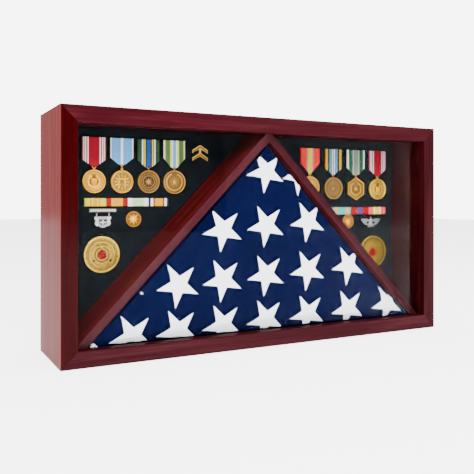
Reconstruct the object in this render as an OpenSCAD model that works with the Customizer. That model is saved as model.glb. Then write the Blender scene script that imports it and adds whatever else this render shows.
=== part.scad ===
// Folded flag display case with a medal compartment on each side.
// X runs across the case, -Y faces the viewer, +Z is up.
// The origin is the bottom centre of the whole case.

/* [Case] */
// Width over the side boards
case_w = 700; // [640:5:860]
// Height over the top and bottom boards
case_h = 376; // [345:1:460]
// Depth from the front of the lip to the back edges
case_d = 146; // [140:1:180]
// Thickness of the four case boards
board_t = 19; // [17:0.5:22]
// Width of the front lip's face
lip_w = 25; // [23:0.5:32]
// Depth of the front lip
lip_d = 17; // [12:0.5:22]
// Rounding of the lip's two front edges
edge_r = 1.2; // [0.4:0.1:2.5]
// Width of the rebate that the back panel sits on
seat_w = 6; // [4:0.5:8]

/* [Glass and dividers] */
// Thickness of the glass
glass_t = 3; // [2:0.5:4]
// Width of the strips that hold the glass
stop_w = 5; // [3:0.5:6]
// Thickness of the two sloping dividers
divider_t = 12.7; // [9:0.1:16]

/* [Medal boards] */
// Distance from the case's front to the velvet
velvet_at = 98; // [90:1:110]
// Thickness of the velvet
velvet_t = 0.8; // [0.5:0.1:1.5]
// Thickness of the board under the velvet
medal_board_t = 5; // [3:0.5:8]
// Side of the square cleats behind the medal boards
cleat_w = 10; // [8:1:16]

/* [Flag] */
// Thickness of the folded flag
flag_t = 92; // [70:1:96]
// Gap left around the folded flag
flag_gap = 0.5; // [0.3:0.1:3]

/* [Back] */
// Depth of the back panel's rebate
back_t = 6; // [5:0.5:8]
// Length of a turn button from its screw to its tip
button_l = 26; // [20:1:32]
// Width of a turn button
button_w = 10; // [8:0.5:11]
// Distance of each turn button from the case's middle
button_x = 190; // [120:5:260]
// Height of the hanger rings' pivots above the bottom
hanger_z = 306; // [250:1:320]

/* [Medals] */
// Thickness of a folded ribbon
ribbon_t = 2.4; // [2.2:0.1:3]
// Thickness of a medal
medal_t = 3; // [2:0.1:3.4]
// Radius of a suspension ring, to the middle of its wire
ring_r = 3; // [2.8:0.1:3.4]
// Thickness of the challenge coins
coin_t = 3; // [2:0.1:4]

/* [Hidden] */
$fn = 64;
inner_w = case_w - 2 * board_t;
inner_lo = board_t;
inner_hi = case_h - board_t;
// Radii and thicknesses of the hanger rings and their straps
ring_wire = 1;
strap_t = 1;
strap_w = 8;
strap_l = 38;
loop_gap = 0.08;
loop_r = ring_wire + loop_gap + strap_t;
back_out = 2 * loop_r;
// Front and back faces of the case
front = -(case_d + back_out) / 2;
back = front + case_d;
glass_back = front + lip_d + glass_t;
panel_front = back - back_t;
// Middle of the back edges, where the buttons and hangers are screwed on
edge_mid = (board_t - seat_w) / 2;
// Screws
screw_r = 1.5;
head_r = 3;
head_t = 1.8;
screw_l = 16;
button_t = 1.5;
slip = 0.1;
fit = 0.05;
// Sloping dividers: rise over run, and the length of a unit run
slope = (inner_hi - inner_lo) / (inner_w / 2);
stretch = sqrt(1 + slope * slope);
// Velvet and board faces
velvet = front + velvet_at;
board_front = velvet + velvet_t;
board_back = board_front + medal_board_t;
// Mitre splines
spline_l = 45;
spline_w = 14;
spline_t = 4;
spline_ys = [front + 45, front + 110];
// Wires of the suspension rings and the loops on top of the medals
wire_r = 0.55;
loop_major = 1.7;
loop_minor = 0.5;
// Brooch plate behind each ribbon, posts through the board and clutches
brooch_t = 1.2;
post_r = 0.6;
clutch_r = 3;
clutch_t = 4;
ribbon_back = velvet - brooch_t;
medal_mid = ribbon_back - ribbon_t / 2;
// Badge thickness and the bar badge's two links
badge_t = 2;
link_x = 10;
link_major = 1.8;
link_minor = 0.45;
eye_major = 1.5;
eye_minor = 0.4;

// One row a medal: middle, ribbon top, ribbon width, straight length, whole length,
// tip width, medal radius, gap from the ribbon's tip to the medal
medals = [
  [-277.0, 340.5, 38.5, 39, 48, 4, 18.5, 4],
  [-231.5, 340.5, 38.5, 36, 43, 13, 18.5, 9],
  [-186.0, 340.5, 37.5, 35, 46, 11, 18.8, 5],
  [-140.5, 340.5, 38.5, 30, 46, 10, 19.5, 4.5],
  [132.0, 338, 43, 28, 48, 4, 20, 5],
  [185.4, 338, 42, 36, 49, 4, 20.5, 5],
  [238.8, 338, 43, 34, 48, 14, 22, 5],
  [292.2, 338, 42, 36, 51, 4, 20, 4.5]
];
hexagon_medal = 7;
ball_medal = 2;

// Other insignia: middles and sizes
ribbon_bar_l = [-221.5, 237, 35.5, 13, 4];
ribbon_bar_r = [248.5, 220, 43, 14, 3];
chevron_at = [-92.5, 321];
badge_bar_at = [-262.7, 224];
emblem_ats = [[-211, 209.5], [222, 199.5]];
emblem_r = 13;
wing_at = [277, 196];
coin_l = [-264, 153.7, 29];
coin_r = [282, 139.4, 31];

// ---- helpers ----

// Draws an outline given in X and Z as a plate between two depths.
module plate(y0, y1) {
  translate([0, y1, 0]) rotate([90, 0, 0]) linear_extrude(y1 - y0) children();
}

// A round bar along Y.
module rod(r, y0, y1) {
  translate([0, y1, 0]) rotate([90, 0, 0]) cylinder(r = r, h = y1 - y0);
}

// A ring of wire whose hole faces Z.
module torus(major, minor) {
  rotate_extrude() translate([major, 0]) circle(minor, $fn = 32);
}

module wire_ring(major, minor) {
  rotate([90, 0, 0]) torus(major, minor);
}

module upright_loop(major, minor) {
  rotate([0, 90, 0]) torus(major, minor);
}

// Points of a quarter circle, for a rounded corner.
function corner(cx, cy, r, a0, a1) =
  [for (k = [0:4]) let (a = a0 + (a1 - a0) * k / 4) [cx + r * cos(a), cy + r * sin(a)]];

// Points of a star with n tips.
function star(n, r, inner) =
  [for (k = [0:2 * n - 1]) let (a = 90 + 180 * k / n, q = k % 2 == 0 ? r : inner)
    [q * cos(a), q * sin(a)]];

// ---- case boards ----

// Section of a board: depth along X, distance in from the case's outside along Y.
module board_section() {
  polygon(concat(
    corner(edge_r, edge_r, edge_r, 270, 180),
    corner(edge_r, lip_w - edge_r, edge_r, 180, 90),
    [[lip_d, lip_w], [lip_d, board_t], [case_d - back_t, board_t],
     [case_d - back_t, board_t - seat_w], [case_d, board_t - seat_w], [case_d, 0]]));
}

// A board with its outside down at z = 0 and both ends mitred.
module mitred_board(l) {
  intersection() {
    translate([0, front, 0]) rotate([90, 0, 90])
      linear_extrude(l, center = true) board_section();
    plate(front - 1, back + 1)
      polygon([[-l / 2, 0], [l / 2, 0], [l / 2 - lip_w, lip_w], [lip_w - l / 2, lip_w]]);
  }
}

module spline(gap) {
  translate([0, 0, -spline_t / 2 - gap]) linear_extrude(spline_t + 2 * gap) {
    square([spline_w + 2 * gap, spline_l - spline_w], center = true);
    for (s = [-1, 1]) translate([0, s * (spline_l - spline_w) / 2])
      circle(spline_w / 2 + gap);
  }
}

module splines(gap) {
  for (s = [-1, 1], top = [-1, 1], y = spline_ys)
    translate([s * (case_w - board_t) / 2, y, case_h / 2 + top * (case_h - board_t) / 2])
      rotate([0, 45 * s * top, 0]) spline(gap);
}

module pilot_holes() {
  for (p = screw_places())
    translate([p[0], 0, p[1]]) rod(screw_r + fit / 2, back - screw_l, back + 1);
}

module bottom_board() color("#5a1420") difference() {
  mitred_board(case_w);
  splines(fit);
  pilot_holes();
}

module top_board() color("#6a1622") difference() {
  translate([0, 0, case_h]) rotate([0, 180, 0]) mitred_board(case_w);
  splines(fit);
  pilot_holes();
}

module left_board() color("#7a2a30") difference() {
  translate([-case_w / 2, 0, case_h / 2]) rotate([0, 90, 0]) mitred_board(case_h);
  splines(fit);
  pilot_holes();
}

module right_board() color("#4a1a20") difference() {
  translate([case_w / 2, 0, case_h / 2]) rotate([0, -90, 0]) mitred_board(case_h);
  splines(fit);
  pilot_holes();
}

module mitre_splines() color("#c9a878") splines(0);

// ---- glass and its stops ----
// The dividers hold the glass in the middle, and the strips hold it in the side compartments.

module glass_pane() color("#cfe3e6", 0.35) plate(front + lip_d, glass_back)
  translate([-inner_w / 2 + 0.5, inner_lo + 0.5])
    square([inner_w - 1, inner_hi - inner_lo - 1]);

module glass_stops() color("#5a1820") {
  plate(glass_back, glass_back + stop_w + 1) {
    for (s = [-1, 1]) {
      // along the top, from the side to the divider
      polygon([[s * inner_w / 2, inner_hi], [s * 10, inner_hi],
               [s * (10 + stop_w), inner_hi - stop_w],
               [s * (inner_w / 2), inner_hi - stop_w]]);
      // down the side, under the top strip
      polygon([[s * inner_w / 2, inner_hi - stop_w - 0.2],
               [s * (inner_w / 2 - stop_w), inner_hi - stop_w - 0.2],
               [s * (inner_w / 2 - stop_w), inner_lo + 2 * stop_w + 4],
               [s * inner_w / 2, inner_lo + stop_w + 4]]);
    }
  }
}

// ---- dividers, medal boards and flag ----

module divider_outline() {
  polygon([[-inner_w / 2, inner_lo], [0, inner_hi],
           [0, inner_hi - divider_t * stretch],
           [-inner_w / 2 + divider_t * stretch / slope, inner_lo]]);
}

// Draws the left side's shape on the left (-1) or, mirrored, on the right (1).
module side(s) {
  if (s > 0) mirror([1, 0, 0]) children();
  else children();
}

module divider(s) color("#6a2028") side(s) plate(glass_back, panel_front) divider_outline();

module left_divider() divider(-1);
module right_divider() divider(1);

// The left compartment's outline, drawn in by c on every side.
module compartment(c) {
  polygon([[-inner_w / 2 + c, inner_hi - c], [-c * (1 + stretch) / slope, inner_hi - c],
           [-inner_w / 2 + c, inner_lo + c * (slope + stretch)]]);
}

// Every place where a post goes through the velvet and the board.
function post_places() = concat(
  [for (m = medals, s = [-1, 1]) [m[0] + s * m[2] * 0.3, m[1] - 5]],
  [for (b = [ribbon_bar_l, ribbon_bar_r], s = [-1, 1]) [b[0] + s * b[2] * b[4] * 0.35, b[1]]],
  [for (e = emblem_ats) e],
  [chevron_at + [0, 2], badge_bar_at + [-14, 0], badge_bar_at + [14, 0],
   wing_at + [-9, 0], wing_at + [9, 0]]);

module post_holes() {
  for (p = post_places())
    translate([p[0], 0, p[1]]) rod(post_r + fit, velvet - 1, board_back + 1);
}

module posts(places) {
  for (p = places) translate([p[0], 0, p[1]]) rod(post_r, velvet - 0.6, board_back + 6);
}

module medal_board(s) color("#b08a5c") difference() {
  side(s) plate(board_front, board_back) compartment(0.5 + velvet_t);
  post_holes();
}

module velvet_cover(s) color("#141c22") difference() {
  side(s) plate(velvet, board_back) compartment(0.5);
  side(s) plate(board_front, board_back + 1) compartment(0.5 + velvet_t);
  post_holes();
}

module left_medal_board() medal_board(-1);
module right_medal_board() medal_board(1);
module left_velvet() velvet_cover(-1);
module right_velvet() velvet_cover(1);

module board_cleats() color("#a8835a") for (s = [-1, 1]) {
  translate([s * 190 - 110, board_back, inner_hi - cleat_w]) cube([220, cleat_w, cleat_w]);
  translate([s > 0 ? inner_w / 2 - cleat_w : -inner_w / 2, board_back, 90])
    cube([cleat_w, cleat_w, 230]);
  side(s) translate([-inner_w / 4, board_back, (inner_lo + inner_hi) / 2])
    rotate([0, -atan(slope), 0]) translate([-90, 0, 0]) cube([180, cleat_w, cleat_w]);
}

module folded_flag() color("#1f356f") {
  drop = divider_t * stretch + flag_gap * (stretch + 1);
  half = (inner_hi - inner_lo - drop) / slope;
  plate(glass_back + 1, glass_back + 1 + flag_t)
    polygon([[-half, inner_lo + flag_gap], [0, inner_hi - drop + flag_gap],
             [half, inner_lo + flag_gap]]);
}

// ---- back panel, turn buttons and hangers ----

module back_panel() color("#6e5138") plate(panel_front + slip, back - 2 * slip)
  translate([-case_w / 2 + board_t - seat_w + 0.5, board_t - seat_w + 0.5])
    square([case_w - 2 * (board_t - seat_w) - 1, case_h - 2 * (board_t - seat_w) - 1]);

// Buttons 1 and 2 are on the top board, 3 and 4 on the bottom board.
function button_place(i) = [(i % 2 == 1 ? -1 : 1) * button_x, i < 3 ? case_h - edge_mid : edge_mid];

function hanger_place(s) = [s * (case_w / 2 - edge_mid), hanger_z];

function screw_places() = concat(
  [for (i = [1:4]) button_place(i)],
  [for (s = [-1, 1], d = [19, 32]) hanger_place(s) - [0, d]]);

module turn_button(i) color("#c8b070") translate([button_place(i)[0], 0, button_place(i)[1]])
  plate(back + slip, back + slip + button_t) difference() {
    union() {
      circle(button_w / 2);
      translate([0, -button_w / 2]) square([button_l - button_w / 2, button_w]);
      translate([button_l - button_w / 2, 0]) circle(button_w / 2);
    }
    circle(screw_r + fit);
  }

// A pan-head screw whose head bears at the given height over the back edge.
module screw(height) {
  rod(screw_r, back + height - screw_l + 3, back + height + 0.1);
  difference() {
    rod(head_r, back + height, back + height + head_t);
    translate([0, back + height + head_t, 0]) cube([0.8, 1.6, 2 * head_r - 1.4], center = true);
    translate([0, back + height + head_t, 0]) cube([2 * head_r - 1.4, 1.6, 0.8], center = true);
  }
}

module back_screws() color("#d0c8b8") {
  for (i = [1:4]) translate([button_place(i)[0], 0, button_place(i)[1]])
    screw(button_t + 2 * slip);
  for (s = [-1, 1], d = [19, 32])
    translate([hanger_place(s)[0], 0, hanger_place(s)[1] - d]) screw(strap_t);
}

module hanger_strap(s) color("#b8b8ba") translate([hanger_place(s)[0], back, hanger_z])
  difference() {
    union() {
      translate([-strap_w / 2, loop_r, 0]) rotate([0, 90, 0]) cylinder(r = loop_r, h = strap_w);
      translate([-strap_w / 2, 0, -strap_l]) cube([strap_w, strap_t, strap_l]);
    }
    translate([-strap_w, loop_r, 0]) rotate([0, 90, 0])
      cylinder(r = ring_wire + loop_gap, h = 2 * strap_w);
    for (d = [19, 32]) translate([0, 0, -d]) rod(screw_r + fit, -1, 2 * strap_t);
  }

module left_hanger_strap() hanger_strap(-1);
module right_hanger_strap() hanger_strap(1);

// A D-shaped ring that hangs from its straight bar.
module hanger_ring(s) color("#c2c2c4")
  translate([hanger_place(s)[0], back + loop_r, hanger_z]) {
    half = strap_w / 2 + 0.2 + ring_wire;
    leg = 4;
    rotate([0, 90, 0]) cylinder(r = ring_wire, h = 2 * half, center = true);
    for (k = [-1, 1]) {
      translate([k * half, 0, 0]) sphere(ring_wire);
      translate([k * half, 0, -leg]) cylinder(r = ring_wire, h = leg);
    }
    translate([0, 0, -leg]) rotate([-90, 0, 0]) rotate_extrude(angle = 180)
      translate([half, 0]) circle(ring_wire, $fn = 32);
  }

module left_hanger_ring() hanger_ring(-1);
module right_hanger_ring() hanger_ring(1);

// ---- medals ----

function tip_z(m) = m[1] - m[4];
function ring_z(m) = tip_z(m) + 1;
function medal_z(m) = tip_z(m) - m[7] - m[6];
function loop_z(m) = ring_z(m) - ring_r - loop_major + loop_minor + wire_r;

module medal_ribbon(i) {
  m = medals[i - 1];
  color(i % 2 == 1 ? "#8c1c34" : "#7fb2d8") difference() {
    plate(medal_mid - ribbon_t / 2, ribbon_back) translate([m[0], m[1]])
      polygon([[-m[2] / 2, 0], [m[2] / 2, 0], [m[2] / 2, -m[3]], [m[5] / 2, -m[4]],
               [-m[5] / 2, -m[4]], [-m[2] / 2, -m[3]]]);
    translate([m[0], medal_mid, ring_z(m)]) wire_ring(ring_r, wire_r + 0.3);
  }
}

module medal_ring(i) {
  m = medals[i - 1];
  color("#d8b860") translate([m[0], medal_mid, ring_z(m)]) wire_ring(ring_r, wire_r);
}

// A disc or hexagon with a raised rim, hung from a loop on its top.
module medal_pendant(i) {
  m = medals[i - 1];
  y0 = medal_mid - medal_t / 2;
  top = tip_z(m) - m[7];
  color("#c9a552") translate([m[0], 0, 0]) {
    difference() {
      translate([0, 0, medal_z(m)]) plate(y0, y0 + medal_t) medal_outline(i, m[6]);
      translate([0, 0, medal_z(m)]) plate(y0 - 1, y0 + 0.5) medal_outline(i, m[6] - 2);
    }
    translate([0, medal_mid, top - 0.6])
      cylinder(r = 1.1, h = loop_z(m) - loop_major - top + 0.6);
    translate([0, medal_mid, loop_z(m)]) upright_loop(loop_major, loop_minor);
    if (i == ball_medal) translate([0, medal_mid, (top + loop_z(m) - loop_major) / 2])
      sphere(2.4);
  }
}

module medal_outline(i, r) {
  if (i == hexagon_medal) rotate(90) circle(r, $fn = 6);
  else circle(r);
}

module medal_brooches() color("#b8a070") for (m = medals) {
  translate([m[0] - m[2] * 0.4, ribbon_back, m[1] - 9]) cube([m[2] * 0.8, brooch_t, 8]);
  posts([for (s = [-1, 1]) [m[0] + s * m[2] * 0.3, m[1] - 5]]);
}

module pin_clutches() color("#c9a552") for (p = post_places())
  translate([p[0], 0, p[1]]) difference() {
    rod(clutch_r, board_back + 0.2, board_back + 0.2 + clutch_t);
    rod(post_r + fit, board_back - 1, board_back + clutch_t + 1);
  }

// ---- other insignia ----

// A metal rail with ribbon-covered units side by side.
module ribbon_bar(b) {
  run = b[2] * b[4];
  translate([b[0] - run / 2, velvet - 1.2, b[1] - b[3] * 0.35]) cube([run, 1.2, b[3] * 0.7]);
  for (k = [0:b[4] - 1]) translate([b[0] - run / 2 + k * b[2] + 0.15, velvet - 2.6, b[1] - b[3] / 2])
    cube([b[2] - 0.3, 1.6, b[3]]);
  posts([for (s = [-1, 1]) [b[0] + s * run * 0.35, b[1]]]);
}

module left_ribbon_bar() color("#c8b83c") ribbon_bar(ribbon_bar_l);
module right_ribbon_bar() color("#9c2038") ribbon_bar(ribbon_bar_r);

module chevron_pin() color("#d8b23c") {
  translate([chevron_at[0], 0, chevron_at[1]]) {
    for (k = [-1, 1]) plate(velvet - badge_t, velvet) translate([0, 6.5 * k])
      polygon([[-14, -6.5], [-14, -1.5], [0, 7], [14, -1.5], [14, -6.5], [0, 1.5]]);
    plate(velvet - badge_t, velvet) translate([-1.5, -1]) square([3, 10]);
  }
  posts([chevron_at + [0, 2]]);
}

function badge_hinge_z() = badge_bar_at[1] - 3 - eye_major * 2 + 0.2;

module badge_bar() color("#c4c6c8") {
  y_mid = velvet - 2.4;
  translate([badge_bar_at[0], 0, badge_bar_at[1]]) {
    translate([-22, velvet - 3.2, -3]) cube([44, 2, 6]);
    plate(velvet - 1.4, velvet) circle(2.6);
    for (s = [-1, 1]) translate([s * link_x, y_mid, badge_hinge_z() + eye_major - badge_bar_at[1]])
      wire_ring(eye_major, eye_minor);
    for (s = [-1, 1]) translate([s * 14, 0, 0]) rod(post_r, velvet - 2, board_back + 6);
  }
}

// A wreathed medallion on two links that swings forward on the bar's eyes.
module badge_pendant() color("#c4c6c8") {
  y_mid = velvet - 2.4;
  hinge_z = badge_hinge_z();
  link_z = hinge_z - (link_major - link_minor) + eye_minor + 0.05;
  for (s = [-1, 1]) translate([badge_bar_at[0] + s * link_x, y_mid, link_z]) {
    upright_loop(link_major, link_minor);
    translate([0, 0, -link_major - 1.6]) cylinder(r = 0.8, h = 1.8);
  }
  translate([badge_bar_at[0], 0, link_z - link_major - 10.6]) plate(y_mid - 1, y_mid + 1)
    {
      circle(9.2);
      translate([-14, 4.4]) square([28, 5.2]);
      for (s = [-1, 1]) translate([s * 8, -1]) circle(5.5);
    }
}

module emblem_pins() color("#d2a83e") {
  for (e = emblem_ats) translate([e[0], 0, e[1]]) {
    plate(velvet - 1.4, velvet) circle(emblem_r);
    plate(velvet - 2.4, velvet - 1.3) polygon(star(8, emblem_r - 1.5, emblem_r - 4.5));
  }
  posts(emblem_ats);
}

module wing_badge() color("#b8bcc0") {
  translate([wing_at[0], 0, wing_at[1]]) plate(velvet - badge_t, velvet) {
    circle(8);
    polygon(star(5, 13, 6));
    for (s = [-1, 1]) polygon([[0, 5], [s * 12, 9], [s * 25, 8], [s * 21, 2], [s * 15, -3], [0, -6]]);
  }
  posts([wing_at + [-9, 0], wing_at + [9, 0]]);
}

module coin(c) translate([c[0], 0, c[1]]) difference() {
  plate(velvet - coin_t, velvet) circle(c[2], $fn = 96);
  plate(velvet - coin_t - 1, velvet - coin_t + 0.5) circle(c[2] - 2, $fn = 96);
}

module left_coin() color("#cdb25c") coin(coin_l);
module right_coin() color("#c9a94e") coin(coin_r);

// ---- drawing ----

top_board();
bottom_board();
left_board();
right_board();
mitre_splines();
glass_stops();
left_divider();
right_divider();
left_medal_board();
right_medal_board();
left_velvet();
right_velvet();
board_cleats();
folded_flag();
back_panel();
for (i = [1:4]) turn_button(i);
back_screws();
left_hanger_strap();
right_hanger_strap();
left_hanger_ring();
right_hanger_ring();
medal_brooches();
pin_clutches();
left_ribbon_bar();
right_ribbon_bar();
chevron_pin();
badge_bar();
badge_pendant();
emblem_pins();
wing_badge();
left_coin();
right_coin();
for (i = [1:8]) medal_ribbon(i);
for (i = [1:8]) medal_ring(i);
for (i = [1:8]) medal_pendant(i);
glass_pane();
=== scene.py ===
"""Looks for the folded flag display case. Metres, +Z up, the glass faces -Y."""
import math

import bmesh
import bpy
import numpy as np
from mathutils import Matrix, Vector
from mathutils.bvhtree import BVHTree


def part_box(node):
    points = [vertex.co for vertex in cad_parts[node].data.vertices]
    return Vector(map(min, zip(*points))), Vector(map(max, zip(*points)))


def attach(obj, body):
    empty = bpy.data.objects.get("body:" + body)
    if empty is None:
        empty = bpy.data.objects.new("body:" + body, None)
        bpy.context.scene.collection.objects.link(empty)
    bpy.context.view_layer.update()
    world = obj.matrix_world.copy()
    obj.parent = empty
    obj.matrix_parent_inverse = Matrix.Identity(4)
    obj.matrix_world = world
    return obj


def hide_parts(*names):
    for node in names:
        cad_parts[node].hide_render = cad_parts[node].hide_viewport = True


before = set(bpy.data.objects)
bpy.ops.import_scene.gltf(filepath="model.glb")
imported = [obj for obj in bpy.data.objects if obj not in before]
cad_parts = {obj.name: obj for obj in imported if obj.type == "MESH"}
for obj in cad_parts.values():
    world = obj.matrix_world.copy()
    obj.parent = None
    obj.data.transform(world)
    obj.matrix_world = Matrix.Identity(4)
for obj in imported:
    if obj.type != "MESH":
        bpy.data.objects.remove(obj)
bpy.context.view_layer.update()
MM = 0.001
CASE = "case"
PIN_POST = 0.6 * MM                                      # radius of a pin's post

# ---------------------------------------------------------------- places from the frame

case_lo, case_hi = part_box("bottom_board")[0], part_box("top_board")[1]
front, width, height = case_lo.y, case_hi.x - case_lo.x, case_hi.z
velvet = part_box("left_velvet")[0].y
board_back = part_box("left_medal_board")[1].y
post_end = board_back + 6 * MM
side_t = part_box("glass_pane")[0].x - 0.5 * MM - case_lo.x


# ---------------------------------------------------------------- camera and lamps

def add_camera():
    """A level camera with the left edge of the case nearer to it."""
    data = bpy.data.cameras.new("camera")
    data.sensor_width, data.lens = 36, 49.41
    data.shift_y = -0.0754
    data.clip_start, data.clip_end = 0.01, 50
    camera = bpy.data.objects.new("camera", data)
    bpy.context.scene.collection.objects.link(camera)
    camera.location = (-0.5515, front - 0.9219, 0.2385)
    camera.rotation_euler = (math.radians(90), 0, math.radians(-27.5))
    bpy.context.scene.camera = camera


def add_light(name, place, aim, size, power):
    """A white soft box."""
    data = bpy.data.lights.new(name, "AREA")
    data.shape, data.size, data.size_y = "RECTANGLE", size[0], size[1]
    data.energy = power
    light = bpy.data.objects.new(name, data)
    bpy.context.scene.collection.objects.link(light)
    light.location = place
    light.rotation_euler = (Vector(aim) - Vector(place)).to_track_quat("-Z", "Y").to_euler()


# ---------------------------------------------------------------- materials

class Value:
    """A socket in a material. Python's operators on it add Math nodes."""

    def __init__(self, paint, socket):
        self.paint, self.socket = paint, socket

    def maths(self, operation, *values):
        return self.paint.node("ShaderNodeMath", {"operation": operation}, values)

    def __add__(self, other):
        return self.maths("ADD", self, other)

    def __sub__(self, other):
        return self.maths("SUBTRACT", self, other)

    def __rsub__(self, other):
        return self.maths("SUBTRACT", other, self)

    def __mul__(self, other):
        return self.maths("MULTIPLY", self, other)

    def __truediv__(self, other):
        return self.maths("DIVIDE", self, other)

    def __rtruediv__(self, other):
        return self.maths("DIVIDE", other, self)

    def __abs__(self):
        return self.maths("ABSOLUTE", self)

    __radd__, __rmul__ = __add__, __mul__

    def sin(self):
        return self.maths("SINE", self)

    def clamped(self):
        return self.paint.node("ShaderNodeClamp", {}, [self])

    def between(self, low, high):
        """0 at low, 1 at high, smoothly."""
        settings = {"interpolation_type": "SMOOTHSTEP"}
        return self.paint.node("ShaderNodeMapRange", settings, [self, low, high])


def rgba(colour):
    """A colour with its alpha, or the link that it already is."""
    return colour if isinstance(colour, Value) else (*colour, 1)


class Nodes:
    """A node tree, whose nodes all come from one method."""

    def __init__(self, tree):
        self.tree = tree

    def node(self, kind, settings=(), values=(), out=0):
        """Adds a node: its settings first, then its sockets, by position or by name."""
        made = self.tree.nodes.new(kind)
        for key, value in dict(settings).items():
            if key == "stops":
                self.set_stops(made.color_ramp, value)
            elif key == "steps":
                made.color_ramp.interpolation = value
            else:
                setattr(made, key, value)
        self.feed(made, values if isinstance(values, dict) else dict(enumerate(values)))
        return Value(self, made.outputs[out]) if made.outputs else None

    def feed(self, node, values):
        for key, value in values.items():
            if isinstance(value, Value):
                self.tree.links.new(value.socket, node.inputs[key])
            else:
                node.inputs[key].default_value = value

    @staticmethod
    def set_stops(ramp, stops):
        while len(ramp.elements) < len(stops):
            ramp.elements.new(1)
        for element, (place, colour) in zip(ramp.elements, stops):
            element.position, element.color = place, rgba(colour)

    def place(self):
        """Where the point is on the piece, in metres."""
        return self.node("ShaderNodeTexCoord", out="Object")

    def axes(self, vector=None):
        vector = vector or self.place()
        return [self.node("ShaderNodeSeparateXYZ", {}, [vector], k) for k in "XYZ"]

    def join(self, x, y, z):
        return self.node("ShaderNodeCombineXYZ", {}, [x, y, z])

    def noise(self, vector, scale, detail=3.0, rough=0.55, distortion=0.0):
        values = {"Vector": vector, "Scale": scale, "Detail": detail, "Roughness": rough,
                  "Distortion": distortion}
        return self.node("ShaderNodeTexNoise", {}, values)

    def mix(self, factor, a, b, blend="MIX"):
        """Colour a where the factor is 0, and b, blended with it, where the factor is 1."""
        return self.node("ShaderNodeMix", {"data_type": "RGBA", "blend_type": blend},
                         {0: factor, 6: rgba(a), 7: rgba(b)}, 2)

    def ramp(self, factor, stops, steps="LINEAR"):
        return self.node("ShaderNodeValToRGB", {"stops": stops, "steps": steps}, [factor])


class Paint(Nodes):
    """One material: a Principled shader and the nodes that feed it."""

    def __init__(self, name, **constants):
        self.material = bpy.data.materials.new(name)
        self.material.use_nodes = True
        super().__init__(self.material.node_tree)
        self.tree.nodes.clear()
        shader = self.node("ShaderNodeBsdfPrincipled")
        self.shader = shader.socket.node
        self.node("ShaderNodeOutputMaterial", {}, [shader])
        self.feed(self.shader, {key.replace("_", " "): value for key, value in constants.items()})

    def colour(self, value):
        self.feed(self.shader, {"Base Color": value})

    def roughness(self, value):
        self.feed(self.shader, {"Roughness": value})

    def bump(self, relief, depth, strength):
        """Raises the surface by up to depth metres where relief is 1."""
        values = {"Height": relief, "Distance": depth, "Strength": strength}
        self.feed(self.shader, {"Normal": self.node("ShaderNodeBump", {}, values)})


def straightened(paint, along, turn=0.0):
    """The place with its grain along X, for wood whose length runs along that axis."""
    x, y, z = paint.axes()
    if turn:
        c, s = math.cos(turn), math.sin(turn)
        x, z = x * c + z * s, z * c - x * s
    return {"X": (x, y, z), "Z": (z, y, x)}[along]


# a paler, pinker colour for the side boards' outer faces: painted reflection and painted side light
PAINTED_SIDE_LIGHT = (0.075, 0.008, 0.0075), (0.125, 0.018, 0.017)
# a paler colour for the dividers behind their front edges: painted light
PAINTED_DIVIDER_LIGHT = (0.030, 0.0018, 0.0022), (0.085, 0.0075, 0.0080)
MITRE_STEP = 0.8 * MM


def cherry(name, along, turn=0.0, painted_light_tone=(1.0, 1.0), offset=0.0, outer=None, behind=None):
    """Dark red stained cherry under satin lacquer, with its grain along one axis.

    tone sets the pink and the lightness of this board's copy: painted light and shade, set board by
    board. The face at outer, a distance from the middle, is painted paler: a painted reflection and
    painted side light. From behind backwards, the wood is painted paler: painted light."""
    paint = Paint(name, Coat_Weight=0.15, Coat_Roughness=0.16, Coat_IOR=1.3,
                  Specular_IOR_Level=0.0)
    u, v, w = straightened(paint, along, turn)
    across = paint.join(u * 1.6 + offset, v * 30, w * 30)
    figure = paint.noise(across, 1.0, 4, 0.6, 0.6)
    streaks = paint.noise(paint.join(u * 9 + offset, v * 420, w * 420), 1.0, 3, 0.65)
    pores = paint.noise(paint.join(u * 60, v * 1500, w * 1500), 1.0, 2, 0.5)
    pore = pores.between(0.62, 0.72)
    rings = (figure * 22 + streaks * 1.5).sin() * 0.5 + 0.5
    red, light = painted_light_tone
    dark = (0.0125 * light, 0.0003 * red, 0.0006 * red)
    mid = (0.0200 * light, 0.0008 * red, 0.0014 * red)
    pale = (0.0310 * light, 0.0020 * red, 0.0026 * red)
    grain = streaks * 0.55 + rings * 0.22 + figure * 0.23
    base = paint.ramp(grain, [(0.28, dark), (0.5, mid), (0.74, pale)])
    # the outer side face is painted paler: painted reflection and painted side light
    if outer is not None:
        face = ((abs(paint.axes()[0]) - (outer - MITRE_STEP)) * 5000).clamped()
        base = paint.mix(face, base, paint.ramp(grain, list(zip((0.28, 0.74), PAINTED_SIDE_LIGHT))))
    # behind the divider's front edge the wood is painted paler: painted light
    if behind is not None:
        deep = ((paint.axes()[1] - behind) * 4000).clamped()
        base = paint.mix(deep, base, paint.ramp(grain, list(zip((0.28, 0.74), PAINTED_DIVIDER_LIGHT))))
    paint.colour(paint.mix(pore * 0.55, base, tuple(c * 0.4 for c in dark)))
    paint.roughness(streaks * 0.12 + pore * 0.2 + 0.30)
    paint.bump(streaks * 0.4 - pore, 0.00006, 0.35)
    return paint.material


def softwood(name, colours):
    """Bare wood, with its grain along X."""
    paint = Paint(name, Specular_IOR_Level=0.25)
    x, y, z = paint.axes()
    figure = paint.noise(paint.join(x * 2, y * 25, z * 25), 1.0, 3, 0.5, 0.5)
    streaks = paint.noise(paint.join(x * 12, y * 380, z * 380), 1.0, 3, 0.6)
    rings = (figure * 30).sin() * 0.5 + 0.5
    paint.colour(paint.ramp(streaks * 0.5 + rings * 0.5, list(zip((0.25, 0.75), colours))))
    paint.roughness(streaks * 0.2 + 0.6)
    paint.bump(streaks, 0.0001, 0.5)
    return paint.material


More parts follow.
